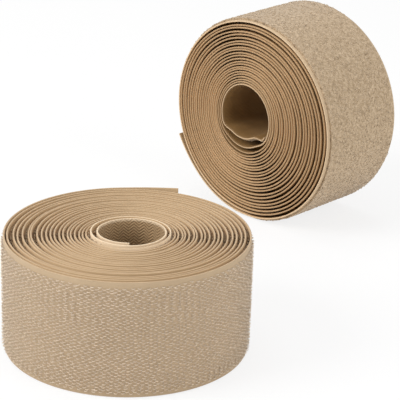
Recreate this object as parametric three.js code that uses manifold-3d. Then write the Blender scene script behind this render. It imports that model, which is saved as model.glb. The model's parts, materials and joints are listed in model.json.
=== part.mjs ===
// A pair of sew-on hook and loop tape rolls: the hook roll lies on its edge, the loop roll stands on its rim.
// Each tape is one woven ribbon wound without a core, with a field of hooks or of pile on its outer face.
// Millimetres, +Z up. X runs along the loop roll's axis, and the origin is under the middle of the pair.
import * as THREE from "three";
import { mergeVertices } from "three/addons/utils/BufferGeometryUtils.js";
import Module from "manifold-3d";

// Tape, the same for both rolls so that they close edge to edge
const tapeWidth = 50;
const groundThickness = 0.7;
const selvedge = 3; // bare woven edge on each side of the field
const hookHeight = 1; // hook tips above the ground weave
const pileHeight = 1.3; // free loop pile above the ground weave
const pressedPileHeight = 0.74; // the same pile between two turns
const windGap = 0.04; // air between a field and the turn that lies on it

// Hook roll
const hookTurns = 21.561;
const hookBoreRadius = 14.65;
const hookBoreOffset = new THREE.Vector2(-0.6, -1.4);
const hookInnerAngle = -135; // where the innermost end lies, in degrees
const hookEndGap = 2.2; // the innermost turn springs this far into the bore
const hookSlackFade = 1.3; // and each further turn less, at this rate
const hookEndFlapAngle = 60; // degrees of the innermost turn that bend freely
const hookTailLift = 4; // how far the tail's end stands off the roll

// Loop roll
const loopTurns = 23.367;
const loopBoreRadius = 15.3;
const loopBoreOval = 0.7; // the bore is this much taller and narrower than round
const loopBoreOffset = new THREE.Vector2(3.8, 0.4);
const loopInnerAngle = -154;
const loopEndFlapAngle = 124;
const loopSag = 6.5; // how far the innermost turn has collapsed into the bore
const loopSagFade = 0.84; // each further turn has collapsed less, at this rate
const loopSagAngle = -86.5; // the collapse is centred here, just beside the bottom
const loopSagFlatAngle = 26; // degrees either side of it that have collapsed fully
const loopSagReachAngle = 66; // degrees either side of it where the collapse ends
const loopTailLift = 1.5;
const rimFlat = 0.5; // the pile is pressed flat this deep where the roll stands

// Free ends
const tailSegments = 3;
const tailSegmentLength = 13;
const tailLiftLength = 25; // the last stretch of each tape, which has sprung off the roll
const fieldStart = 2; // the field under the tail's end begins this far past it

// Placing of the loop roll beside the hook roll
const rollGap = 87.9; // from the hook roll's rim to the loop roll's near face
const sideOffset = 61.7; // from one roll's axis to the other's across the loop roll

// Clearances
const segmentGap = 0.3; // between one stretch of tape and the next
const fieldClearance = 0.3; // between a ground weave and the field on it
const fieldSetback = 0.8; // a field ends this far short of a bend

// Winding
const innerTightness = 0.87; // the inner turns lie closer than the mean, the outer ones wider
const turnSteps = 24;
const fieldSteps = 48;
const leastStep = 0.3; // a last step shorter than this share of a full one is joined to the one before

const wasm = await Module();
wasm.setup();

const hookMaterial = new THREE.MeshStandardMaterial({ color: 0xd3ba98, roughness: 0.7, metalness: 0 });
const pileMaterial = new THREE.MeshStandardMaterial({ color: 0xcdb596, roughness: 0.95, metalness: 0 });
const groundMaterial = new THREE.MeshStandardMaterial({ color: 0xc9ab82, roughness: 0.85, metalness: 0 });

// The middle line of a wound tape in the plane across its roll.
// A turn count u of 0 is the inner end and u of turns is the outer end.
class WoundTape {
  constructor(settings) {
    Object.assign(this, settings);
    this.pitch = groundThickness + this.pressedField + windGap;
    this.outerRadius = this.boreRadius + this.turns * this.pitch;
    this.liftTurns = this.turnsOf(tailLiftLength);
  }

  // How many turns a length of tape takes at the rim
  turnsOf(length) {
    return length / (2 * Math.PI * this.outerRadius);
  }

  degreesAt(u) {
    return this.innerAngle + this.direction * 360 * u;
  }

  point(u) {
    const share = u / this.turns;
    const grown = share * (innerTightness + (1 - innerTightness) * share);
    const degrees = this.degreesAt(u);
    const angle = THREE.MathUtils.degToRad(degrees);
    const fromTailStart = Math.max(0, u - this.turns + this.liftTurns) / this.liftTurns;
    const sprungIn = this.endSlack * Math.exp(-hookSlackFade * u);
    const offRoll = this.tailLift * fromTailStart ** 2 - sprungIn;
    const acrossRadius = THREE.MathUtils.lerp(this.boreRadius - this.oval, this.outerRadius, grown);
    const uprightRadius = THREE.MathUtils.lerp(this.boreRadius + this.oval, this.outerRadius, grown);
    const fromSag = Math.abs(THREE.MathUtils.euclideanModulo(degrees - loopSagAngle + 180, 360) - 180);
    const collapsed = 1 - THREE.MathUtils.smoothstep(fromSag, loopSagFlatAngle, loopSagReachAngle);
    const sag = this.sag * Math.exp(-loopSagFade * u) * collapsed;
    return new THREE.Vector2(
      this.boreOffset.x * (1 - grown) + (acrossRadius + offRoll) * Math.cos(angle),
      this.boreOffset.y * (1 - grown) + (uprightRadius + offRoll) * Math.sin(angle) + sag,
    );
  }

  outward(u) {
    const span = 1e-4;
    const along = this.point(u + span).sub(this.point(u - span)).normalize();
    return new THREE.Vector2(along.y, -along.x).multiplyScalar(this.direction);
  }

  offset(u, distance) {
    return this.point(u).addScaledVector(this.outward(u), distance);
  }

  // Turn counts from one place on the tape to another, in equal steps with a short last one
  stations(from, to, stepsPerTurn) {
    const counts = [];
    for (let u = from; u < to - leastStep / stepsPerTurn; u += 1 / stepsPerTurn) counts.push(u);
    return [...counts, to];
  }
}

// A closed strip along the tape, between two distances from its middle line and two heights along the axis
function stripGeometry(tape, counts, inner, outer, low, high) {
  const positions = [];
  const triangles = [];
  const quad = (a, b, c, d) => triangles.push(a, b, c, a, c, d);
  for (const u of counts) {
    const near = tape.offset(u, inner);
    const far = tape.offset(u, outer);
    positions.push(near.x, near.y, low, far.x, far.y, low, far.x, far.y, high, near.x, near.y, high);
  }
  for (let step = 0; step < counts.length - 1; step += 1) {
    for (let side = 0; side < 4; side += 1) {
      const here = 4 * step + side;
      const beside = 4 * step + ((side + 1) % 4);
      quad(here, beside, beside + 4, here + 4);
    }
  }
  const last = 4 * (counts.length - 1);
  quad(3, 2, 1, 0);
  quad(last, last + 1, last + 2, last + 3);
  if (tape.direction > 0) {
    for (let i = 0; i < triangles.length; i += 3) {
      [triangles[i + 1], triangles[i + 2]] = [triangles[i + 2], triangles[i + 1]];
    }
  }
  const geometry = new THREE.BufferGeometry();
  geometry.setAttribute("position", new THREE.Float32BufferAttribute(positions, 3));
  geometry.setIndex(triangles);
  return geometry;
}

function groundGeometry(tape, from, to) {
  const half = groundThickness / 2;
  return stripGeometry(tape, tape.stations(from, to, turnSteps), -half, half, 0, tapeWidth);
}

function fieldGeometry(tape, from, to) {
  const surface = groundThickness / 2;
  const counts = tape.stations(from, to, fieldSteps);
  const base = surface + fieldClearance;
  return stripGeometry(tape, counts, base, surface + tape.fieldHeight, selvedge, tapeWidth - selvedge);
}

function toSolid(geometry) {
  const bare = new THREE.BufferGeometry();
  bare.setAttribute("position", geometry.getAttribute("position"));
  bare.setIndex(geometry.index);
  const merged = mergeVertices(bare);
  const triVerts = new Uint32Array(merged.index.array);
  const vertProperties = merged.getAttribute("position").array;
  return new wasm.Manifold(new wasm.Mesh({ numProp: 3, vertProperties, triVerts }));
}

function fromSolid(solid) {
  const mesh = solid.getMesh();
  const geometry = new THREE.BufferGeometry();
  geometry.setAttribute("position", new THREE.BufferAttribute(mesh.vertProperties, 3));
  geometry.setIndex(new THREE.BufferAttribute(mesh.triVerts, 1));
  return geometry;
}

// Takes away all that lies below a level, as standing on a table presses the pile flat
function pressFlat(geometry, level) {
  geometry.computeBoundingBox();
  const size = geometry.boundingBox.getSize(new THREE.Vector3());
  const middle = geometry.boundingBox.getCenter(new THREE.Vector3());
  const below = new THREE.BoxGeometry(2 * size.x, size.y, 2 * size.z);
  below.translate(middle.x, level - size.y / 2, middle.z);
  return fromSolid(toSolid(geometry).subtract(toSolid(below)));
}

function piece(name, geometry, material) {
  geometry.computeVertexNormals();
  const mesh = new THREE.Mesh(geometry, material);
  mesh.name = name;
  return mesh;
}

// The least distance between the outer face of a winding and the inner face of the turn around it
function leastGap(tape, from, to) {
  const half = groundThickness / 2;
  const halfTurn = 0.5;
  const counts = tape.stations(from, to, turnSteps);
  const outer = counts.map((u) => tape.offset(u, half));
  const inner = counts.map((u) => tape.offset(u, -half));
  let least = Infinity;
  for (let i = 0; i < counts.length; i += 1) {
    for (let k = 0; k < counts.length - 1; k += 1) {
      if (counts[k] < counts[i] + halfTurn) continue;
      const along = inner[k + 1].clone().sub(inner[k]);
      const reach = outer[i].clone().sub(inner[k]);
      const share = THREE.MathUtils.clamp(reach.dot(along) / along.lengthSq(), 0, 1);
      least = Math.min(least, reach.addScaledVector(along, -share).length());
    }
  }
  return least;
}

// A group whose origin is a bend line of the tape, parallel to the roll's axis
function bendGroup(name, tape, u, distance) {
  const group = new THREE.Group();
  const line = tape.offset(u, distance);
  group.name = name;
  group.position.set(line.x, line.y, 0);
  return group;
}

// One roll: its winding, the field on the outermost turn, a tail of hinged stretches and the inner end.
// The roll's axis is its own Z, with one edge of the tape at 0.
function makeRoll(tape, finishField) {
  const roll = new THREE.Group();
  roll.name = tape.name + "_roll";
  const segment = tape.turnsOf(tailSegmentLength);
  const tailStart = tape.turns - tailSegments * segment;
  const flapEnd = tape.endFlap / 360;
  const halfGap = tape.turnsOf(segmentGap / 2);
  const setback = tape.turnsOf(fieldSetback);
  const bendRadius = tape.point(flapEnd).length();
  const flapHalfGap = segmentGap / (4 * Math.PI * bendRadius);

  const winding = groundGeometry(tape, flapEnd + flapHalfGap, tailStart - halfGap);
  roll.add(piece(tape.name + "_winding", winding, groundMaterial));
  const gap = leastGap(tape, flapEnd + flapHalfGap, tailStart - halfGap);
  console.log(tape.name + " winding, least gap to itself: " + gap.toFixed(2) + " mm");

  const fieldFrom = tape.turns - 1 + tape.turnsOf(fieldStart);
  const field = finishField(fieldGeometry(tape, fieldFrom, tailStart - setback));
  roll.add(piece(tape.name + "_" + tape.fieldName, field, tape.fieldMaterial));

  // The tail bends outward, about the ground's outer face, so that the gaps between its stretches open
  let carrier = roll;
  const carrierOrigin = new THREE.Vector3();
  for (let index = 0; index < tailSegments; index += 1) {
    const from = tailStart + index * segment;
    const to = from + segment;
    const atEnd = index === tailSegments - 1;
    const group = bendGroup(tape.name + "_tail_bend_" + (index + 1), tape, from, groundThickness / 2);
    const origin = group.position.clone();
    const ground = groundGeometry(tape, from + halfGap, atEnd ? to : to - halfGap);
    const cover = fieldGeometry(tape, from + setback, atEnd ? to : to - setback);
    for (const [name, geometry, material] of [
      ["_tail_" + (index + 1), ground, groundMaterial],
      ["_tail_" + tape.fieldName + "_" + (index + 1), cover, tape.fieldMaterial],
    ]) {
      geometry.translate(-origin.x, -origin.y, 0);
      group.add(piece(tape.name + name, geometry, material));
    }
    group.position.sub(carrierOrigin);
    carrier.add(group);
    carrier = group;
    carrierOrigin.copy(origin);
  }

  // The inner end bends into the bore, about the ground's inner face
  const flap = bendGroup(tape.name + "_inner_bend", tape, flapEnd, -groundThickness / 2);
  const flapGround = groundGeometry(tape, 0, flapEnd - flapHalfGap);
  flapGround.translate(-flap.position.x, -flap.position.y, 0);
  flap.add(piece(tape.name + "_inner_end", flapGround, groundMaterial));
  roll.add(flap);
  return roll;
}

const hookTape = new WoundTape({
  name: "hook",
  fieldName: "field",
  fieldMaterial: hookMaterial,
  fieldHeight: hookHeight,
  pressedField: hookHeight,
  direction: -1,
  turns: hookTurns,
  boreRadius: hookBoreRadius,
  oval: 0,
  boreOffset: hookBoreOffset,
  innerAngle: hookInnerAngle,
  endSlack: hookEndGap,
  endFlap: hookEndFlapAngle,
  sag: 0,
  tailLift: hookTailLift,
});

const loopTape = new WoundTape({
  name: "loop",
  fieldName: "pile",
  fieldMaterial: pileMaterial,
  fieldHeight: pileHeight,
  pressedField: pressedPileHeight,
  direction: 1,
  turns: loopTurns,
  boreRadius: loopBoreRadius,
  oval: loopBoreOval,
  boreOffset: loopBoreOffset,
  innerAngle: loopInnerAngle,
  endSlack: 0,
  endFlap: loopEndFlapAngle,
  sag: loopSag,
  tailLift: loopTailLift,
});

const assembly = new THREE.Group();
assembly.name = "hook_and_loop_tape_rolls";

const hookRoll = makeRoll(hookTape, (field) => field);
assembly.add(hookRoll);

// The loop roll stands on the pile of its rim, so its axis is as high as the pressed pile lets it sink
let loopAxisHeight = 0;
const loopRoll = makeRoll(loopTape, (pile) => {
  pile.computeBoundingBox();
  loopAxisHeight = -pile.boundingBox.min.y - rimFlat;
  return pressFlat(pile, -loopAxisHeight);
});
const acrossAxis = new THREE.Vector3(0, 1, 0);
const upAxis = new THREE.Vector3(0, 0, 1);
const rollAxis = new THREE.Vector3(1, 0, 0);
loopRoll.quaternion.setFromRotationMatrix(new THREE.Matrix4().makeBasis(acrossAxis, upAxis, rollAxis));
const hookRimRadius = hookTape.outerRadius + groundThickness / 2 + hookHeight;
loopRoll.position.set(hookRimRadius + rollGap, sideOffset, loopAxisHeight);
assembly.add(loopRoll);

// The origin is on the table, under the middle of the pair
const reach = new THREE.Box3().setFromObject(assembly, true);
const middle = reach.getCenter(new THREE.Vector3());
for (const roll of [hookRoll, loopRoll]) {
  roll.position.x -= middle.x;
  roll.position.y -= middle.y;
  roll.position.z -= reach.min.z;
}

export default assembly;
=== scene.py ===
import json
import math

import bpy
import numpy as np
from mathutils import Matrix, Vector


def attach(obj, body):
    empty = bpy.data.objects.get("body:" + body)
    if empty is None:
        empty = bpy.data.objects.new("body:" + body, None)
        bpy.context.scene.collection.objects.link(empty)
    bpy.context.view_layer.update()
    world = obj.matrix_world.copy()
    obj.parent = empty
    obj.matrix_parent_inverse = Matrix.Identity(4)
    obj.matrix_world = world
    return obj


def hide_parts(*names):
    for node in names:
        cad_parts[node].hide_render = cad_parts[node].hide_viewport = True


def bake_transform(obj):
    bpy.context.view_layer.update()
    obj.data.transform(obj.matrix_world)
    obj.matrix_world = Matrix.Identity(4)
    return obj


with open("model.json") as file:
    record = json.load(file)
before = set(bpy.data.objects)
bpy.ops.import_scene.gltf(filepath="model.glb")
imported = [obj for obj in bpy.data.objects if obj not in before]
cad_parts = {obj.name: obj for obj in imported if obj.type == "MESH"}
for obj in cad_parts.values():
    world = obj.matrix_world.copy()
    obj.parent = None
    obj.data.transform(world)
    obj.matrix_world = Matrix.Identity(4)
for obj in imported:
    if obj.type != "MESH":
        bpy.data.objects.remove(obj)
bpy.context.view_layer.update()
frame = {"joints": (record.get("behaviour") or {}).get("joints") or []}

# Camera. A long lens stands in front and to the left of the pair and looks down on both rolls.
# The picture is tilted a little to one side.
camera_place = (-0.5771, -0.5514, 0.3496)
bearing_degrees, dip_degrees, tilt_degrees = -46.53, 21.35, 1.38
bpy.ops.object.select_all(action="DESELECT")
bpy.ops.object.camera_add()
camera = bpy.context.object
camera.data.lens = 171
camera.data.sensor_width = 36
camera.data.clip_start = 0.05
stand = Matrix.Translation(camera_place)
bearing = Matrix.Rotation(math.radians(bearing_degrees), 4, "Z")
dip = Matrix.Rotation(math.radians(90 - dip_degrees), 4, "X")
tilt = Matrix.Rotation(math.radians(tilt_degrees), 4, "Z")
camera.matrix_world = stand @ bearing @ dip @ tilt
bpy.context.scene.camera = camera
bpy.context.scene.view_settings.view_transform = "Standard"


# Studio. The pair stands on a matt white table between white walls. Large soft lamps hang on the left,
# in front and above, the left one the strongest, and the table keeps the rolls' soft shadow.
class Thread:
    """One value that runs through a material's nodes. Sums on it add Math nodes."""

    def __init__(self, tree, socket=None):
        self.tree = tree
        self.socket = socket

    def node(self, kind, settings=None, sockets=None, output=0):
        """Any other node: its settings come first, then the values or links of its sockets."""
        made = self.tree.nodes.new(kind)
        for name, value in (settings or {}).items():
            setattr(made, name, value)
        for name, value in (sockets or {}).items():
            if isinstance(value, Thread):
                self.tree.links.new(value.socket, made.inputs[name])
            else:
                made.inputs[name].default_value = value
        return Thread(self.tree, made.outputs[output])

    def into(self, socket):
        self.tree.links.new(self.socket, socket)

    def sum(self, operation, first, second):
        return self.node("ShaderNodeMath", {"operation": operation}, {0: first, 1: second})

    def __add__(self, other):
        return self.sum("ADD", self, other)

    def __sub__(self, other):
        return self.sum("SUBTRACT", self, other)

    def __mul__(self, other):
        return self.sum("MULTIPLY", self, other)

    def __truediv__(self, other):
        return self.sum("DIVIDE", self, other)

    def __rsub__(self, other):
        return self.sum("SUBTRACT", other, self)

    def __rtruediv__(self, other):
        return self.sum("DIVIDE", other, self)

    __radd__ = __add__
    __rmul__ = __mul__


def new_finish(name):
    """A material, its shader and a loose thread that starts its nodes."""
    finish = bpy.data.materials.new(name)
    finish.use_nodes = True
    return finish, finish.node_tree.nodes["Principled BSDF"], Thread(finish.node_tree)


def looked_at(loose):
    """1 for a ray that shows the backdrop, straight or in a gloss, and 0 for one that lights the rolls."""
    straight = loose.node("ShaderNodeLightPath", output="Is Camera Ray")
    mirrored = loose.node("ShaderNodeLightPath", output="Is Glossy Ray")
    through = loose.node("ShaderNodeLightPath", output="Is Transmission Ray")
    capped_sum = {"operation": "ADD", "use_clamp": True}
    return loose.node("ShaderNodeMath", capped_sum, {0: straight + mirrored, 1: through})


table_size, table_level = 6, -0.00005
backdrop_share = 0.8
bpy.ops.object.select_all(action="DESELECT")
bpy.ops.mesh.primitive_plane_add(size=table_size, location=(0, 0, table_level))
table_top = bpy.context.object
table_top.name = "table_top"
table_finish, table_shader, loose = new_finish("table_white")
table_shader.inputs["Base Color"].default_value = (0.92, 0.92, 0.92, 1)
table_shader.inputs["Roughness"].default_value = 0.9
table_shader.inputs["Specular IOR Level"].default_value = 0.2
table_glow = loose.node("ShaderNodeEmission", None, {"Color": (1, 1, 1, 1), "Strength": 1})
lit_table = Thread(loose.tree, table_shader.outputs[0])
glow_share = looked_at(loose) * backdrop_share
table_mix = loose.node("ShaderNodeMixShader", None, {0: glow_share, 1: lit_table, 2: table_glow})
table_mix.into(loose.tree.nodes["Material Output"].inputs["Surface"])
table_top.data.materials.append(table_finish)

wall_light = 0.46
walls = bpy.data.worlds.new("studio_walls")
bpy.context.scene.world = walls
walls.use_nodes = True
air = Thread(walls.node_tree)
wall_strength = wall_light + (1 - wall_light) * looked_at(air)
wall_strength.into(walls.node_tree.nodes["Background"].inputs["Strength"])
walls.node_tree.nodes["Background"].inputs["Color"].default_value = (1, 1, 1, 1)

for lamp_name, lamp_place, lamp_size, lamp_watts in (
    ("lamp_left", (-1.0, 0.5, 0.8), 0.8, 13.0),
    ("lamp_front", (0.15, -1.25, 0.5), 0.9, 7.2),
    ("lamp_above", (0.15, 0.25, 1.2), 0.9, 4.2),
):
    bpy.ops.object.light_add(type="AREA", location=lamp_place)
    lamp = bpy.context.object
    lamp.name = lamp_name
    lamp.data.size = lamp_size
    lamp.data.energy = lamp_watts
    lamp.rotation_euler = Vector(lamp_place).to_track_quat("Z", "Y").to_euler()


# Ground of the hook tape. A nylon ribbon 50 mm wide and about 4.4 m long, close woven with firm selvedges,
# its back a fine herringbone. It is wound by its own stiffness alone, with no core, hooks outwards.
tape_width = 0.05
half_width = tape_width / 2
ground_thickness = 0.0007
ground_face = ground_thickness / 2
selvedge = 0.003
field_edge = half_width - selvedge
hook_height = 0.001
wind_gap = 0.00004

# Both tapes end in a tail cut into three stretches, and in a flap that bends into the bore.
tail_stretches, tail_stretch = 3, 0.013
tail_lift_length = 0.025
under_tail = 0.004
flap_margin = 0.008

# The winding is loose. Slack dies away turn by turn, and fallen turns lie flat about the sag's angle,
# in degrees, and rise on both sides of it. Waves and raised edges are counted in turns.
slack_fade = 1.3
sag_angle, sag_flat, sag_reach_back, sag_reach_on = -86.5, 26, 66, 72
wave_count, wave_rates, wave_twists = 5, (0.35, 2.7), (-1.6, 1.6)
calm_start, calm_end, inner_ripple = 0.6, 1.2, 0.45
stagger_rate = 0.9
raised_turns, raised_fade = 1.7, 0.8
points_per_turn = 240
turn_nudge = 1e-4


def eased(share):
    """0 below 0 and 1 above 1, with a smooth way between."""
    share = np.clip(share, 0, 1)
    return share * share * (3 - 2 * share)


class WoundTape:
    """A tape on its roll. A place on the flat tape is metres along, across and above it.
    A tightness under 1 lays the inner turns closer than the outer ones. The bore is out of round by oval and
    off centre by bore_offset. The inner end stands end_gap into it, sag is how far the innermost turn has
    fallen in, and inner_rise is how far the inner turns stand out of the roll's side. The axes first and
    second lie in the roll's plane, and third along its axle."""

    def __init__(self, **sizes):
        vars(self).update(sizes)
        self.outer_radius = self.bore_radius + self.turns * self.pitch
        self.lift_turns = self.turns_of(tail_lift_length)
        self.tail_turn = self.turns - tail_stretches * self.turns_of(tail_stretch)
        self.counts = np.linspace(0, self.turns, int(points_per_turn * self.turns))
        steps = np.diff(self.middle(self.counts), axis=0)
        self.lengths = np.append(0, np.cumsum(np.hypot(steps[:, 0], steps[:, 1])))
        self.length = self.lengths[-1]
        self.flap = self.along_at(self.flap_degrees / 360)
        self.tail = self.along_at(self.tail_turn)
        self.winding_ends = self.flap + flap_margin, self.tail - tail_stretch / 2
        self.field_start = self.along_at(self.tail_turn - 1) - under_tail
        chance = np.random.RandomState(self.seed)
        self.wave_rate = chance.uniform(*wave_rates, wave_count)
        self.wave_start = chance.uniform(0, 2 * math.pi, wave_count)
        self.wave_twist = chance.uniform(*wave_twists, wave_count)
        bend = next(joint for joint in frame["joints"] if joint["name"] == f"{self.name}_tail_bend_1")
        tail = np.array([self.tail_turn])
        hinge = self.middle(tail)[0] + ground_face * self.outward(tail)[0]
        self.axle = np.array(bend["pos_m"]) - hinge[0] * self.first - hinge[1] * self.second

    def turns_of(self, length):
        """How much of an outer turn a length makes up."""
        return length / (2 * math.pi * self.outer_radius)

    def turn_at(self, along):
        return np.interp(along, self.lengths, self.counts)

    def along_at(self, turn):
        return float(np.interp(turn, self.counts, self.lengths))

    def middle(self, turn):
        """Where the middle of the tape's thickness lies in the plane of the roll."""
        share = turn / self.turns
        grown = share * (self.tightness + (1 - self.tightness) * share)
        degrees = self.inner_angle + self.direction * 360 * turn
        angle = np.radians(degrees)
        from_tail = np.maximum(0, turn - self.turns + self.lift_turns) / self.lift_turns
        off_roll = self.tail_lift * from_tail ** 2 - self.end_gap * np.exp(-slack_fade * turn)
        across = self.bore_radius - self.oval + (self.outer_radius - self.bore_radius + self.oval) * grown
        upright = self.bore_radius + self.oval + (self.outer_radius - self.bore_radius - self.oval) * grown
        off_sag = (degrees - sag_angle + 180) % 360 - 180
        reach = np.where(off_sag < 0, sag_reach_back, sag_reach_on)
        fallen = 1 - eased((np.abs(off_sag) - sag_flat) / (reach - sag_flat))
        sag = self.sag * np.exp(-self.sag_fade * turn) * fallen
        return np.column_stack([
            self.bore_offset[0] * (1 - grown) + (across + off_roll) * np.cos(angle),
            self.bore_offset[1] * (1 - grown) + (upright + off_roll) * np.sin(angle) + sag,
        ])

    def outward(self, turn):
        ahead = self.middle(turn + turn_nudge) - self.middle(turn - turn_nudge)
        ahead /= np.hypot(ahead[:, 0], ahead[:, 1])[:, None]
        return self.direction * np.column_stack([ahead[:, 1], -ahead[:, 0]])

    def waves(self, turn, across, rate):
        """An uneven swing to both sides of 0, twice the mean of a few plain waves."""
        phase = 2 * math.pi * rate * turn[:, None] * self.wave_rate + self.wave_start
        return np.sin(phase + across[:, None] / half_width * self.wave_twist).mean(axis=1) * 2

    def ripple_at(self, turn, across):
        """How far the loose winding strays from an even spiral, least at its ends and near the bore."""
        ends = eased(turn / calm_start) * eased((self.turns - turn) / calm_end)
        calm = ends * (inner_ripple + (1 - inner_ripple) * turn / self.turns)
        return self.ripple * calm * self.waves(turn, across, 1)

    def room_at(self, turn):
        """The room between this turn's outer face and the next turn."""
        middle_line = np.zeros(len(turn))
        apart = ((self.middle(turn + 1) - self.middle(turn)) * self.outward(turn)).sum(axis=1)
        strayed = self.ripple_at(turn + 1, middle_line) - self.ripple_at(turn, middle_line)
        return apart + strayed - ground_thickness

    def wind(self, flat):
        """Carries places on the flat tape onto the roll. The turns' edges don't lie quite level."""
        turn = self.turn_at(flat[:, 0])
        rise = flat[:, 2] + self.ripple_at(turn, flat[:, 1])
        wound = self.middle(turn) + self.outward(turn) * rise[:, None]
        uneven = self.waves(turn, np.zeros(len(turn)), stagger_rate)
        stagger = self.edge_stagger * np.maximum(0, 1 + uneven)
        stagger += self.inner_rise * (1 - eased((turn - raised_turns) / raised_fade))
        axial = half_width + self.direction * flat[:, 1] + stagger
        in_plane = wound[:, :1] * self.first + wound[:, 1:] * self.second
        return self.axle + in_plane + axial[:, None] * self.third


fewest_steps = 4
selvedge_round = 0.00025
flat_side = 0.9
smooth_angle = math.radians(50)
hair = 1e-6


def points_of(piece):
    found = np.empty(3 * len(piece.data.vertices), np.float32)
    piece.data.vertices.foreach_get("co", found)
    return found.reshape(-1, 3).astype(float)


def cut_ribbon(name, start, end, low, high, thickness, step, rows):
    """A flat cut of ribbon: x runs along it, y across it and z through it."""
    bpy.ops.object.select_all(action="DESELECT")
    steps = max(fewest_steps, math.ceil((end - start) / step))
    bpy.ops.mesh.primitive_grid_add(x_subdivisions=steps, y_subdivisions=rows, size=1)
    ribbon = bpy.context.object
    ribbon.name = name
    ribbon.scale = (end - start, high - low, 1)
    ribbon.location = ((start + end) / 2, (low + high) / 2, 0)
    bpy.ops.object.transform_apply(location=True, rotation=True, scale=True)
    body = ribbon.modifiers.new("body", "SOLIDIFY")
    body.thickness = thickness
    body.offset = 0
    bpy.ops.object.modifier_apply(modifier="body")
    return ribbon


def round_selvedges(ribbon):
    """Rounds the long edges, where the weft threads turn back."""
    mesh = ribbon.data
    points = points_of(ribbon)
    ends = np.empty(2 * len(mesh.edges), np.int32)
    mesh.edges.foreach_get("vertices", ends)
    ends = ends.reshape(-1, 2)
    at_edge = np.abs(points[:, 1]) > half_width - hair
    lengthways = np.abs(points[ends[:, 0], 0] - points[ends[:, 1], 0]) > hair
    bpy.context.tool_settings.mesh_select_mode = (False, True, False)
    bpy.ops.object.mode_set(mode="EDIT")
    bpy.ops.mesh.select_all(action="DESELECT")
    bpy.ops.object.mode_set(mode="OBJECT")
    mesh.edges.foreach_set("select", at_edge[ends].all(axis=1) & lengthways)
    bpy.ops.object.mode_set(mode="EDIT")
    bpy.ops.mesh.bevel(offset=selvedge_round, segments=2, affect="EDGES")
    bpy.ops.object.mode_set(mode="OBJECT")


def wind_ribbon(ribbon, tape, finishes):
    """Carries a flat cut onto its roll. Its face, back and edges take the three finishes."""
    mesh = ribbon.data
    flat = points_of(ribbon)
    corners = np.empty(len(mesh.loops), np.int32)
    mesh.loops.foreach_get("vertex_index", corners)
    for layer in list(mesh.uv_layers):
        mesh.uv_layers.remove(layer)
    places = flat[corners, :2].astype(np.float32)
    mesh.uv_layers.new(name="tape").uv.foreach_set("vector", places.ravel())
    facing = np.empty(3 * len(mesh.polygons), np.float32)
    mesh.polygons.foreach_get("normal", facing)
    up = facing.reshape(-1, 3)[:, 2]
    side = np.where(up > flat_side, 0, np.where(up < -flat_side, 1, 2)).astype(np.int32)
    mesh.polygons.foreach_set("material_index", side)
    for finish in finishes:
        mesh.materials.append(finish)
    mesh.vertices.foreach_set("co", tape.wind(flat).astype(np.float32).ravel())
    mesh.update()
    bpy.ops.object.shade_smooth_by_angle(angle=smooth_angle)


def along_and_across(loose):
    """Where on the flat tape a point lies, in millimetres along it and across it."""
    place = loose.node("ShaderNodeUVMap", {"uv_map": "tape"})
    along = loose.node("ShaderNodeSeparateXYZ", None, {0: place}, "X") * 1000
    across = loose.node("ShaderNodeSeparateXYZ", None, {0: place}, "Y") * 1000
    return along, across


def wave(loose, value):
    return loose.node("ShaderNodeMath", {"operation": "SINE"}, {0: value * (2 * math.pi)})


def mixed(loose, share, first, second):
    return loose.node("ShaderNodeMix", {"data_type": "RGBA"}, {0: share, 6: first, 7: second}, 2)


def dyed(loose, dye, share):
    """A colour between a dye's two depths."""
    deep, light = dye
    return mixed(loose, share, (*deep, 1), (*light, 1))


def cloudy(loose, size, detail=3):
    """Uneven dye, in patches of about this many millimetres."""
    place = loose.node("ShaderNodeTexCoord", output="Object")
    sockets = {"Vector": place, "Scale": 1000 / size, "Detail": detail}
    return loose.node("ShaderNodeTexNoise", None, sockets)


def set_shine(shader, sheen, gloss):
    """The soft shine of nylon threads, and how much plain gloss goes with it."""
    shader.inputs["Specular IOR Level"].default_value = gloss * sheen
    shader.inputs["Sheen Weight"].default_value = sheen
    shader.inputs["Sheen Roughness"].default_value = 0.5


dye_change, selvedge_blur = 25, 0.5
dye_patch, dye_patchiness = 6, 0.7
weave_roughness, weave_polish, weave_gloss, weave_bump = 0.74, 0.1, 2, 0.6


def ribbon_finish(name, ways, relief, depth, contrast, sheen):
    """Woven nylon, which looks another way from each place along the tape.
    A way is the place where it starts, the colour between the selvedges and on them (painted shade and light
    in the bore and between the turns, the dye elsewhere), the selvedges' width in millimetres, and how much
    of the weave's relief they show. Each colour is a pair of depths.
    Relief is a function that gives the weave's height from the place on the tape."""
    finish, shader, loose = new_finish(name)
    along, across = along_and_across(loose)
    from_edge = 1000 * half_width - loose.node("ShaderNodeMath", {"operation": "ABSOLUTE"}, {0: across})
    _, inner, outer, width, shown = ways[0]
    changes = []
    for place, *_, next_width, next_shown in ways[1:]:
        change_end = 1000 * place
        late = loose.node("ShaderNodeMapRange", None, {0: along, 1: change_end - dye_change, 2: change_end})
        width = width + late * (next_width - width)
        shown = shown + late * (next_shown - shown)
        changes.append(late)
    bare = loose.node("ShaderNodeMapRange", None, {0: from_edge - width, 1: selvedge_blur, 2: -selvedge_blur})
    height = relief(loose, along, across) * (1 - bare + bare * shown)
    share = 0.5 + contrast * height + dye_patchiness * (cloudy(loose, dye_patch) - 0.5)
    body, selvedges = dyed(loose, inner, share), dyed(loose, outer, share)
    for late, (_, inner, outer, *_) in zip(changes, ways[1:]):
        body = mixed(loose, late, body, dyed(loose, inner, share))
        selvedges = mixed(loose, late, selvedges, dyed(loose, outer, share))
    mixed(loose, bare, body, selvedges).into(shader.inputs["Base Color"])
    (weave_roughness - weave_polish * height).into(shader.inputs["Roughness"])
    sockets = {"Strength": weave_bump, "Distance": depth, "Height": height}
    loose.node("ShaderNodeBump", None, sockets).into(shader.inputs["Normal"])
    set_shine(shader, sheen, weave_gloss)
    return finish


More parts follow.
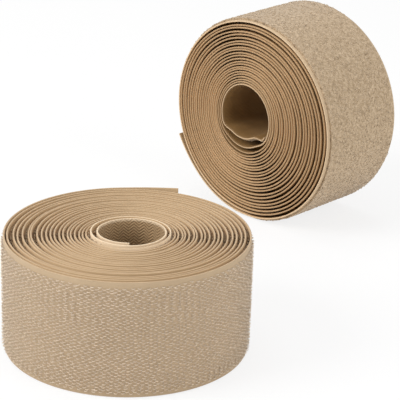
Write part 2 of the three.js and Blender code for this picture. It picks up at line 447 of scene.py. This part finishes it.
warp_pitch, weft_pitch, turned_pitch = 0.9, 0.8, 0.7
zigzag_width, zigzag_slope, zigzag_pitch = 2.3, 0.8, 1.35


def plain_weave(loose, along, across):
    return wave(loose, along / warp_pitch) * wave(loose, across / weft_pitch)


def herringbone(loose, along, across):
    zigzag = loose.node("ShaderNodeMath", {"operation": "PINGPONG"}, {0: along, 1: zigzag_width})
    return wave(loose, (across + zigzag_slope * zigzag) / zigzag_pitch)


def turned_weft(loose, along, across):
    return wave(loose, along / turned_pitch)


hook_tape = WoundTape(
    name="hook", turns=21.561, direction=-1, bore_radius=0.01465, oval=0, bore_offset=(-0.0006, -0.0014),
    pitch=ground_thickness + hook_height + wind_gap, inner_angle=-135, flap_degrees=60, end_gap=0.0022,
    sag=0, sag_fade=1, tail_lift=0.004, tightness=0.83, ripple=0.00048, edge_stagger=0.00012,
    inner_rise=0.0012, seed=11,
    first=np.array([1.0, 0, 0]), second=np.array([0, 1.0, 0]), third=np.array([0, 0, 1.0]),
)
field_dye = (0.44, 0.32, 0.202), (0.55, 0.412, 0.274)
selvedge_dye = (0.42, 0.305, 0.19), (0.51, 0.38, 0.245)
# Between the turns the tape's face, back and selvedges are dyed lighter than the field: painted light against
# the shade in the gaps. On the free tail's back the same colours are the back's own.
hook_back_dye_and_painted_gap_light = (0.52, 0.37, 0.215), (0.64, 0.47, 0.295)
hook_selvedge_dye_and_painted_gap_light = (0.5, 0.345, 0.195), (0.61, 0.44, 0.26)
# In the bore the tape's back is painted shade, deepest between the edges, and a rim 1 mm wide along each edge
# is painted light.
hook_bore_painted_shade = (0.275, 0.176, 0.085), (0.45, 0.3, 0.162)
hook_bore_rim_painted_light = (0.58, 0.43, 0.27), (0.74, 0.57, 0.385)
hook_edge_dye = (0.42, 0.29, 0.165), (0.6, 0.435, 0.27)
hook_inner_edge_dye = (0.68, 0.52, 0.345), (0.86, 0.69, 0.49)
hook_bore_end = hook_tape.along_at(1.1)
hook_pale_edge_end = hook_tape.along_at(1.95)
hook_pale_face_end = hook_tape.along_at(2.2)
selvedge_mm, bore_rim_mm = 1000 * selvedge, 1
face_relief, hook_bore_relief, hook_back_relief = 0.25, 0.7, 0.08
hook_face_ways = (
    (0, hook_back_dye_and_painted_gap_light, hook_inner_edge_dye, selvedge_mm, face_relief),
    (hook_pale_face_end, hook_back_dye_and_painted_gap_light, hook_selvedge_dye_and_painted_gap_light, selvedge_mm, face_relief),
    (hook_tape.field_start, field_dye, selvedge_dye, selvedge_mm, face_relief),
)
hook_back_ways = (
    (0, hook_bore_painted_shade, hook_bore_rim_painted_light, bore_rim_mm, hook_bore_relief),
    (hook_bore_end, hook_back_dye_and_painted_gap_light, hook_selvedge_dye_and_painted_gap_light, selvedge_mm, hook_back_relief),
)
hook_edge_ways = (
    (0, hook_inner_edge_dye, hook_inner_edge_dye, selvedge_mm, 1),
    (hook_pale_edge_end, hook_edge_dye, hook_edge_dye, selvedge_mm, 1),
)
hook_ground_finishes = (
    ribbon_finish("hook_ground_face", hook_face_ways, plain_weave, depth=0.00012, contrast=0.3, sheen=0.12),
    ribbon_finish("hook_ground_back", hook_back_ways, herringbone, depth=0.0002, contrast=0.5, sheen=0.12),
    ribbon_finish("hook_ground_edge", hook_edge_ways, turned_weft, depth=0.00003, contrast=0.05, sheen=0.15),
)
ribbon_step, ribbon_rows = 0.0019, 4


def lay_ground(part, tape, start, end, finishes):
    """A stretch of the woven ribbon, from start to end along it."""
    name = f"{tape.name}_tape_{part}"
    ribbon = cut_ribbon(name, start, end, -half_width, half_width, ground_thickness, ribbon_step, ribbon_rows)
    round_selvedges(ribbon)
    wind_ribbon(ribbon, tape, finishes)
    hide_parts(f"{tape.name}_{part}")
    end - start
    return ribbon


hook_winding = lay_ground("winding", hook_tape, *hook_tape.winding_ends, hook_ground_finishes)
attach(hook_winding, "hook_roll")


# Free ends of the hook tape. The outer tail has sprung off the roll, and the inner end stands a little into
# the bore. Both are the same ribbon as the winding.
bend_reach = 0.0064


def bend_between(piece, tape, along, towards):
    """Finds where the tape crosses a joint, this far along on the piece's side of it, and fixes the piece's
    place into its points.
    """
    ends = np.array([[along - towards * bend_reach, 0, 0], [along + towards * bend_reach, 0, 0]])
    start, end = tape.wind(ends)
    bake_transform(piece)


def bend_tail(piece, tape, along):
    bend_between(piece, tape, along, 1)


def bend_inner_end(piece, tape):
    bend_between(piece, tape, tape.flap, -1)


def tail_lengths(tape):
    """Where each stretch of a tail starts, bends and ends. A stretch runs from mid-stretch to mid-stretch."""
    for index in range(tail_stretches):
        bend = tape.tail + index * tail_stretch
        last = index == tail_stretches - 1
        yield index + 1, bend - tail_stretch / 2, bend, tape.length if last else bend + tail_stretch / 2


def lay_free_ends(tape, finishes):
    for number, start, bend, end in tail_lengths(tape):
        stretch = lay_ground(f"tail_{number}", tape, start, end, finishes)
        bend_tail(stretch, tape, bend)
    inner_end = lay_ground("inner_end", tape, 0, tape.winding_ends[0], finishes)
    bend_inner_end(inner_end, tape)


lay_free_ends(hook_tape, hook_ground_finishes)


# Hooks. Stiff nylon monofilament is woven into the ground as loops in straight rows, set by heat and cut
# on one side, so each leaves a hook and a short stub. The rows' hooks face along the tape, by turns one way
# and the other.
strand_radius = 0.00013
hook_pitch_along, hook_pitch_across = 0.00306, 0.00076
hook_sway = 0.06


def draw_strand(line, radius):
    """A thin three-sided strand along a line in its own x and z, drawn out step by step."""
    bpy.ops.object.select_all(action="DESELECT")
    x, z = line[0]
    bpy.ops.mesh.primitive_circle_add(vertices=3, radius=radius, fill_type="NGON", location=(x, 0, z))
    strand = bpy.context.object
    bpy.ops.object.transform_apply(location=True, rotation=True, scale=True)
    bpy.ops.object.mode_set(mode="EDIT")
    bpy.ops.mesh.select_all(action="SELECT")
    lean = 0
    for (x, z), (next_x, next_z) in zip(line, line[1:]):
        step = (next_x - x, 0, next_z - z)
        bpy.ops.mesh.extrude_region_move(TRANSFORM_OT_translate={"value": step})
        new_lean = math.atan2(step[0], step[2])
        turn = new_lean - lean
        bpy.ops.transform.rotate(value=-turn, orient_axis="Y", center_override=(next_x, 0, next_z))
        lean = new_lean
    bpy.ops.mesh.select_all(action="SELECT")
    bpy.ops.mesh.normals_make_consistent(inside=False)
    bpy.ops.object.mode_set(mode="OBJECT")
    drawn = points_of(strand), [tuple(face.vertices) for face in strand.data.polygons]
    bpy.data.objects.remove(strand)
    return drawn


def both(first, second):
    """Two drawn strands as one shape."""
    points, faces = first
    more_points, more_faces = second
    moved = [tuple(corner + len(points) for corner in face) for face in more_faces]
    return np.vstack([points, more_points]), faces + moved


def plant(name, tape, shape, spots, finish, sway, chance, level=None):
    """Copies a shape to each spot on the flat tape, with some sway and chance in its shade, and winds them.
    A spot is along, across, heading, width and height; level is a floor that nothing sinks into."""
    points, faces = shape
    along, across, heading, width, height = spots.T[:, :, None]
    lean = chance.normal(0, sway, (2, len(spots), 1))
    rise = points[:, 2] * height
    x = points[:, 0] * width + lean[0] * rise
    y = points[:, 1] * width + lean[1] * rise
    flat = np.stack([
        along + np.cos(heading) * x - np.sin(heading) * y,
        across + np.sin(heading) * x + np.cos(heading) * y,
        ground_face + rise,
    ], axis=-1)
    wound = tape.wind(flat.reshape(-1, 3))
    if level is not None:
        wound[:, 2] = np.maximum(wound[:, 2], level)
    shift = len(points) * np.arange(len(spots))[:, None]
    copied = []
    for face in faces:
        copied += (np.array(face) + shift).tolist()
    mesh = bpy.data.meshes.new(name)
    mesh.from_pydata(wound.tolist(), [], copied)
    shade = np.repeat(chance.uniform(0, 1, len(spots)), len(points))
    mesh.attributes.new("shade", "FLOAT", "POINT").data.foreach_set("value", shade.astype(np.float32))
    # How high each point stands on its strand, which the strands' finishes turn into painted shade at the
    # foot.
    standing = np.tile(np.clip(points[:, 2] / points[:, 2].max(), 0, 1), len(spots))
    mesh.attributes.new("standing", "FLOAT", "POINT").data.foreach_set("value", standing.astype(np.float32))
    mesh.polygons.foreach_set("use_smooth", np.ones(len(mesh.polygons), bool))
    mesh.materials.append(finish)
    mesh.update()
    planted = bpy.data.objects.new(name, mesh)
    bpy.context.scene.collection.objects.link(planted)
    return planted


strand_spread, strand_roughness_spread, strand_gloss = 0.45, 0.15, 0.6


def strand_finish(name, dye, roughness, sheen, mottle, patch):
    """Nylon strands, painted shade at the foot and light on top, each a little lighter or deeper than the
    next.
    """
    finish, shader, loose = new_finish(name)
    shade = loose.node("ShaderNodeAttribute", {"attribute_name": "shade"}, None, "Fac")
    standing = loose.node("ShaderNodeAttribute", {"attribute_name": "standing"}, None, "Fac")
    # Painted shade at the foot: the colour runs from the deep end where a strand leaves the ground to the
    # light end on top.
    lit = standing * (1 - strand_spread + strand_spread * shade)
    share = lit + mottle * (cloudy(loose, patch) - 0.5)
    dyed(loose, dye, share).into(shader.inputs["Base Color"])
    (roughness + strand_roughness_spread * (shade - 0.5)).into(shader.inputs["Roughness"])
    set_shine(shader, sheen, strand_gloss)
    return finish


hook_line = (
    (0, -0.0001), (0, 0.0004), (0.00012, 0.00072), (0.00042, 0.00094), (0.0009, 0.00094), (0.0012, 0.00072),
    (0.00128, 0.00045),
)
stub_line = ((0.00138, -0.0001), (0.00138, 0.0003))
hook_length = 0.0014
hook_shape = both(draw_strand(hook_line, strand_radius), draw_strand(stub_line, strand_radius))
# The deep end is painted shade at the hooks' feet, and the light end is the nylon on top.
hook_colour_and_foot_shade = (0.43, 0.32, 0.205), (0.97, 0.83, 0.66)
hook_finish = strand_finish("hook_strand", hook_colour_and_foot_shade, roughness=0.42, sheen=0.5, mottle=0.4, patch=5)
row_start, row_end = 0.0004, 0.0015
row_shift, row_drift, drift_length = 0.00022, 0.00025, 0.007
stray_along, stray_across, stray_heading, stray_height = 0.00015, 0.0001, 0.12, (0.86, 1.04)
room_used = 0.95


def rows_of_hooks(start, end, rows):
    """Spots for hooks in straight rows, each row staggered against the next and facing the other way."""
    spots = []
    for number, across in enumerate(rows):
        facing = number % 2
        first = start + row_start + facing * hook_pitch_along / 2
        for along in np.arange(first, end - row_end, hook_pitch_along):
            spots.append((along + hook_length * facing, across, math.pi * facing, 1, 1))
    return np.array(spots)


def ruffled(spots, chance):
    """No two rows run quite alike, and no two hooks stand quite alike."""
    first, last = spots[:, 0].min(), spots[:, 0].max()
    rows, row = np.unique(spots[:, 1], return_inverse=True)
    shift = chance.normal(0, row_shift, len(rows))
    drift = chance.uniform(0, 2 * math.pi, len(rows))
    spots[:, 0] += shift[row] + row_drift * np.sin(spots[:, 0] / drift_length + drift[row])
    spots[:, 0] += chance.normal(0, stray_along, len(spots))
    spots[:, 0] = np.clip(spots[:, 0], first, last)
    spots[:, 1] += chance.normal(0, stray_across, len(spots))
    spots[:, 2] += chance.normal(0, stray_heading, len(spots))
    spots[:, 4] *= chance.uniform(*stray_height, len(spots))
    return spots


def pressed(spots, tape, height):
    """Hooks or loops that stand only as high as the next turn lets them."""
    spots[:, 4] *= np.minimum(1, room_used * tape.room_at(tape.turn_at(spots[:, 0])) / height)
    return spots


field_shift, field_spread = 0.0003, 0.0022
hook_row_count = round((2 * field_edge + field_spread) / hook_pitch_across)
hook_rows = field_shift + (np.arange(hook_row_count) - (hook_row_count - 1) / 2) * hook_pitch_across
chance = np.random.RandomState(seed=5)
for part, rows in (("upper", hook_rows[hook_rows < 0]), ("lower", hook_rows[hook_rows >= 0])):
    spots = ruffled(rows_of_hooks(hook_tape.field_start, hook_tape.winding_ends[1], rows), chance)
    spots = pressed(spots, hook_tape, hook_height)
    hooks = plant(f"hook_rows_{part}", hook_tape, hook_shape, spots, hook_finish, hook_sway, chance)
    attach(hooks, "hook_roll")
    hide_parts("hook_field")

for number, start, bend, end in tail_lengths(hook_tape):
    spots = ruffled(rows_of_hooks(start, end, hook_rows), chance)
    hooks = plant(f"hook_rows_tail_{number}", hook_tape, hook_shape, spots, hook_finish, hook_sway, chance)
    bend_tail(hooks, hook_tape, bend)
    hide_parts(f"hook_tail_field_{number}")


# Hooks between the turns. The same rows run on through the whole winding to the inner end, and the next turn
# presses on their tips. Those along the two edges of the tape are planted one by one, pushed out a little,
# and those deeper in are a tangle that fills the gap.
short_hook_line = ((0, -0.0001), (0, 0.00055), (0.0003, 0.00092), (0.00095, 0.00092), (0.00128, 0.00055))
short_hook = draw_strand(short_hook_line, strand_radius)
# The deep end is painted shade at the hooks' feet.
wound_hook_colour_and_foot_shade = (0.44, 0.32, 0.19), (0.76, 0.6, 0.41)
wound_finish = strand_finish(
    "hook_strand_wound", wound_hook_colour_and_foot_shade, roughness=0.42, sheen=0.3, mottle=0.5, patch=5
)
tangle_size, tangle_detail, tangle_contrast = 0.8, 4, 2
patch_contrast, mat_lightness = 2.5, 0.45
mat_bump, mat_bump_depth, mat_polish = 0.5, 0.0003, 0.15
mat_sunk, mat_unevenness, ragged_side = 0.00005, 0.00007, 0.008
bed_level = 0.00002


def mat_finish(name, dye, sheen, patch):
    """A tangle of nylon strands, with painted shade in the hollows."""
    finish, shader, loose = new_finish(name)
    tangle = cloudy(loose, tangle_size, tangle_detail)
    # Painted shade: the colour is deeper where the tangle's bump sinks into hollows.
    painted_hollow_shade = tangle_contrast * (tangle - 0.5)
    share = painted_hollow_shade + patch_contrast / patch * (cloudy(loose, patch) - 0.5) + mat_lightness
    dyed(loose, dye, share).into(shader.inputs["Base Color"])
    sockets = {"Strength": mat_bump, "Distance": mat_bump_depth, "Height": tangle}
    loose.node("ShaderNodeBump", None, sockets).into(shader.inputs["Normal"])
    (1 - mat_polish * tangle).into(shader.inputs["Roughness"])
    set_shine(shader, sheen, strand_gloss)
    return finish


def lay_mat(name, tape, start, end, edge, step, rows, height_at, finish, chance):
    """A strip of tangled strands on the ground's face, with an uneven top and uneven sides."""
    mat = cut_ribbon(name, start, end, -edge, edge, 1, step, rows)
    flat = points_of(mat)
    top = flat[:, 2] > 0
    flat[:, 2] = np.where(top, ground_face + height_at(flat[:, 0]), ground_face - mat_sunk)
    flat[top, 2] += chance.normal(0, mat_unevenness, top.sum())
    at_side = np.abs(flat[:, 1]) > edge - hair
    flat[at_side, 1] *= 1 - np.abs(chance.normal(0, ragged_side, at_side.sum()))
    mat.data.vertices.foreach_set("co", flat.astype(np.float32).ravel())
    wind_ribbon(mat, tape, (finish,) * 3)
    settled = points_of(mat)
    settled[:, 2] = np.maximum(settled[:, 2], bed_level)
    mat.data.vertices.foreach_set("co", settled.astype(np.float32).ravel())
    mat.data.update()
    return mat


tangle_fill = 0.75
tangle_edge = field_edge - 0.006
tangle_rows = 2


def hook_tangle(along):
    return tangle_fill * hook_tape.room_at(hook_tape.turn_at(along))


tangle_dye = (0.34, 0.235, 0.13), (0.56, 0.41, 0.25)
tangle_finish = mat_finish("hook_tangle", tangle_dye, sheen=0.1, patch=5)
deep_hooks = lay_mat(
    "hook_rows_wound_deep", hook_tape, hook_tape.winding_ends[0], hook_tape.field_start, tangle_edge,
    ribbon_step, tangle_rows, hook_tangle, tangle_finish, chance,
)
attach(deep_hooks, "hook_roll")

pushed_out, edge_rows = 0.0011, 3
upper_rows, lower_rows = hook_rows[:edge_rows] - pushed_out, hook_rows[-edge_rows:] + pushed_out
for part, rows in (("upper", upper_rows), ("lower", lower_rows)):
    spots = rows_of_hooks(hook_tape.winding_ends[0], hook_tape.field_start, rows)
    spots = pressed(ruffled(spots, chance), hook_tape, hook_height)
    hooks = plant(f"hook_rows_wound_{part}", hook_tape, short_hook, spots, wound_finish, hook_sway, chance)
    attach(hooks, "hook_roll")

end_margin = 0.0005
spots = rows_of_hooks(end_margin, hook_tape.winding_ends[0], hook_rows)
spots = pressed(ruffled(spots, chance), hook_tape, hook_height)
inner_hooks = plant("hook_rows_inner_end", hook_tape, short_hook, spots, wound_finish, hook_sway, chance)
bend_inner_end(inner_hooks, hook_tape)


# Ground of the loop tape. The same woven ribbon, about 4.6 m of it, with a smooth back. Its softer roll
# stands on its rim, a little oval, and the innermost turns have fallen in at the bottom of the bore.
pile_height = 0.0013
pressed_pile = 0.00074
loop_tape = WoundTape(
    name="loop", turns=23.367, direction=1, bore_radius=0.0153, oval=0.0007, bore_offset=(0.0038, 0.0004),
    pitch=ground_thickness + pressed_pile + wind_gap, inner_angle=-154, flap_degrees=124, end_gap=0,
    sag=0.0065, sag_fade=1.0, tail_lift=0.0015, tightness=0.79, ripple=0.0003, edge_stagger=0.0001,
    inner_rise=0, seed=23,
    first=np.array([0, 1.0, 0]), second=np.array([0, 0, 1.0]), third=np.array([1.0, 0, 0]),
)
# Inside the winding the tape is painted shade, nearly black, and a band 0.85 mm wide along each edge, where
# the gap walls show, is painted light.
loop_deep_painted_shade = (0.1, 0.045, 0.008), (0.175, 0.088, 0.024)
loop_gap_rim_painted_light = (0.62, 0.405, 0.214), (0.72, 0.48, 0.262)
# In the bore the tape's back is painted shade, a little less deep within 1 mm of each edge.
loop_bore_painted_shade = (0.2, 0.108, 0.034), (0.3, 0.172, 0.064)
loop_bore_rim_painted_shade = (0.25, 0.15, 0.065), (0.33, 0.205, 0.1)
loop_edge_dye = (0.36, 0.228, 0.116), (0.435, 0.285, 0.152)
loop_back_dye = (0.4, 0.27, 0.145), (0.5, 0.345, 0.2)
loop_inner_edge_dye = (0.47, 0.325, 0.188), (0.57, 0.405, 0.248)
loop_outer_edge_dye = (0.6, 0.43, 0.26), (0.72, 0.54, 0.35)
loop_selvedge_dye = (0.5, 0.37, 0.235), (0.6, 0.455, 0.3)
loop_bore_end = loop_tape.along_at(4.1)
loop_pale_edge_end = loop_tape.along_at(1.3)
gap_rim_mm, loop_back_relief = 0.85, 0.5
loop_face_ways = (
    (0, loop_deep_painted_shade, loop_gap_rim_painted_light, gap_rim_mm, face_relief),
    (loop_tape.field_start, field_dye, loop_selvedge_dye, selvedge_mm, face_relief),
)
loop_back_ways = (
    (0, loop_bore_painted_shade, loop_bore_rim_painted_shade, bore_rim_mm, loop_back_relief),
    (loop_bore_end, loop_deep_painted_shade, loop_gap_rim_painted_light, gap_rim_mm, loop_back_relief),
    (loop_tape.tail, loop_back_dye, loop_back_dye, selvedge_mm, loop_back_relief),
)
loop_edge_ways = (
    (0, loop_inner_edge_dye, loop_inner_edge_dye, selvedge_mm, 1),
    (loop_pale_edge_end, loop_edge_dye, loop_edge_dye, selvedge_mm, 1),
    (loop_tape.field_start, loop_outer_edge_dye, loop_outer_edge_dye, selvedge_mm, 1),
)
loop_ground_finishes = (
    ribbon_finish("loop_ground_face", loop_face_ways, plain_weave, depth=0.00012, contrast=0.3, sheen=0.05),
    ribbon_finish("loop_ground_back", loop_back_ways, turned_weft, depth=0.00006, contrast=0.15, sheen=0.05),
    ribbon_finish("loop_ground_edge", loop_edge_ways, turned_weft, depth=0.00002, contrast=0.03, sheen=0.1),
)
loop_winding = lay_ground("winding", loop_tape, *loop_tape.winding_ends, loop_ground_finishes)
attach(loop_winding, "loop_roll")


# Free ends of the loop tape. The tail hangs low on the left and stands off the roll a little,
# and the inner end lies kinked in the bore.
lay_free_ends(loop_tape, loop_ground_finishes)


# Loop pile. Fine nylon loops are woven into the ground and brushed until they stand in all directions
# as a soft mat. The mat is pressed flat where the roll stands on it.
mat_height, mat_fill = 0.00095, 0.85
mat_step, mat_rows = 0.0008, 56
fibre_radius = 0.00011
pile_patch = 1.5
pile_sway = 0.1
pile_edge = field_edge + 0.0013
loops_per_square = 1.0e6
loop_widths, loop_heights = (0.7, 1.25), (1, 1.36)
half_loop = 0.0004
field_parts = 3
loop_line = (
    (-0.0004, -0.0001), (-0.00046, 0.00045), (-0.0002, 0.0009), (0.0002, 0.00092), (0.00046, 0.00045),
    (0.0004, -0.0001),
)
# The deep end of the loops' colour is painted shade at their feet.
pile_colour_and_foot_shade = (0.29, 0.2, 0.112), (0.69, 0.545, 0.385)
pile_mat_dye = (0.34, 0.24, 0.14), (0.585, 0.448, 0.3)
pile_finish = strand_finish("pile_fibre", pile_colour_and_foot_shade, roughness=0.85, sheen=0.3, mottle=1.1, patch=pile_patch)
loop_shape = draw_strand(loop_line, fibre_radius)
pile_mat_finish = mat_finish("pile_mat", pile_mat_dye, sheen=0.25, patch=pile_patch)


def brushed(start, end, chance):
    """Spots for loops all over a stretch of the field, at any heading."""
    count = int((end - start) * 2 * pile_edge * loops_per_square)
    return np.column_stack([
        chance.uniform(start, end, count),
        chance.uniform(-pile_edge, pile_edge, count),
        chance.uniform(0, 2 * math.pi, count),
        chance.uniform(*loop_widths, count),
        chance.uniform(*loop_heights, count),
    ])


def pressed_mat(along):
    return mat_fill * loop_tape.room_at(loop_tape.turn_at(along))


def open_mat(along):
    return np.minimum(mat_height, pressed_mat(along))


def lay_pile_mat(part, start, end, chance):
    return lay_mat(
        f"loop_pile_mat{part}", loop_tape, start, end, pile_edge, mat_step, mat_rows,
        open_mat, pile_mat_finish, chance,
    )


def plant_loops(part, spots, chance, level=None):
    name = f"loop_pile_{part}"
    loops = plant(name, loop_tape, loop_shape, spots, pile_finish, pile_sway, chance, level)
    return loops


chance = np.random.RandomState(seed=8)
pile_mat = lay_pile_mat("", loop_tape.field_start, loop_tape.winding_ends[1], chance)
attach(pile_mat, "loop_roll")
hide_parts("loop_pile")
field_cuts = np.linspace(loop_tape.field_start, loop_tape.winding_ends[1], field_parts + 1)
for number, (start, end) in enumerate(zip(field_cuts, field_cuts[1:]), 1):
    spots = pressed(brushed(start, end, chance), loop_tape, pile_height)
    loops = plant_loops(number, spots, chance, bed_level)
    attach(loops, "loop_roll")
    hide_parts("loop_pile")

for number, start, bend, end in tail_lengths(loop_tape):
    mat = lay_pile_mat(f"_tail_{number}", start, end, chance)
    spots = brushed(start, end - half_loop, chance)
    loops = plant_loops(f"tail_{number}", spots, chance, bed_level)
    for piece in (mat, loops):
        bend_tail(piece, loop_tape, bend)
        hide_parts(f"loop_tail_pile_{number}")


# Pile between the turns. It runs through the whole winding to the inner end, pressed to about half its height
# by the next turn, and its outermost loops show as a fringe down in the gaps.
fringe_pitch, fringe_depth, fringe_height = 0.0012, 0.0004, 0.0012
fringe_sizes = 0.8, 1.2
wound_edge = field_edge - 0.0015


def fringe(start, end, chance):
    """Spots for loops along both sides of the field."""
    along = np.arange(start, end, fringe_pitch)
    spots = []
    for side in (-1, 1):
        across = side * (wound_edge - np.abs(chance.normal(0, fringe_depth, len(along))))
        heading = chance.uniform(0, 2 * math.pi, len(along))
        sizes = chance.uniform(*fringe_sizes, (len(along), 2))
        spots.append(np.column_stack([along, across, heading, sizes]))
    return np.vstack(spots)


short_loop_line = ((-0.0004, -0.0001), (-0.00035, 0.0006), (0, 0.00095), (0.00035, 0.0006), (0.0004, -0.0001))
short_loop = draw_strand(short_loop_line, fibre_radius)
# The pressed pile and fringe between the turns are nearly black: painted shade deep in the gaps.
gap_mat_painted_shade_dye = (0.1, 0.046, 0.008), (0.2, 0.1, 0.026)
gap_fibre_painted_shade_dye = (0.18, 0.095, 0.025), (0.31, 0.18, 0.066)
gap_mat_painted_shade = mat_finish("pile_mat_pressed", gap_mat_painted_shade_dye, sheen=0, patch=5)
gap_fibre_painted_shade = strand_finish(
    "pile_fibre_pressed", gap_fibre_painted_shade_dye, roughness=0.9, sheen=0, mottle=0.5, patch=5
)
wound_mat = lay_mat(
    "loop_pile_mat_wound", loop_tape, loop_tape.winding_ends[0], loop_tape.field_start, wound_edge,
    ribbon_step, tangle_rows, pressed_mat, gap_mat_painted_shade, chance,
)
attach(wound_mat, "loop_roll")
spots = fringe(loop_tape.winding_ends[0], loop_tape.field_start, chance)
spots = pressed(spots, loop_tape, fringe_height)
wound_loops = plant("loop_pile_wound", loop_tape, short_loop, spots, gap_fibre_painted_shade, pile_sway, chance)
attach(wound_loops, "loop_roll")

inner_mat = lay_pile_mat("_inner_end", end_margin, loop_tape.winding_ends[0], chance)
spots = brushed(2 * end_margin, loop_tape.winding_ends[0], chance)
inner_loops = plant_loops("inner_end", pressed(spots, loop_tape, pile_height), chance)
for piece in (inner_mat, inner_loops):
    bend_inner_end(piece, loop_tape)
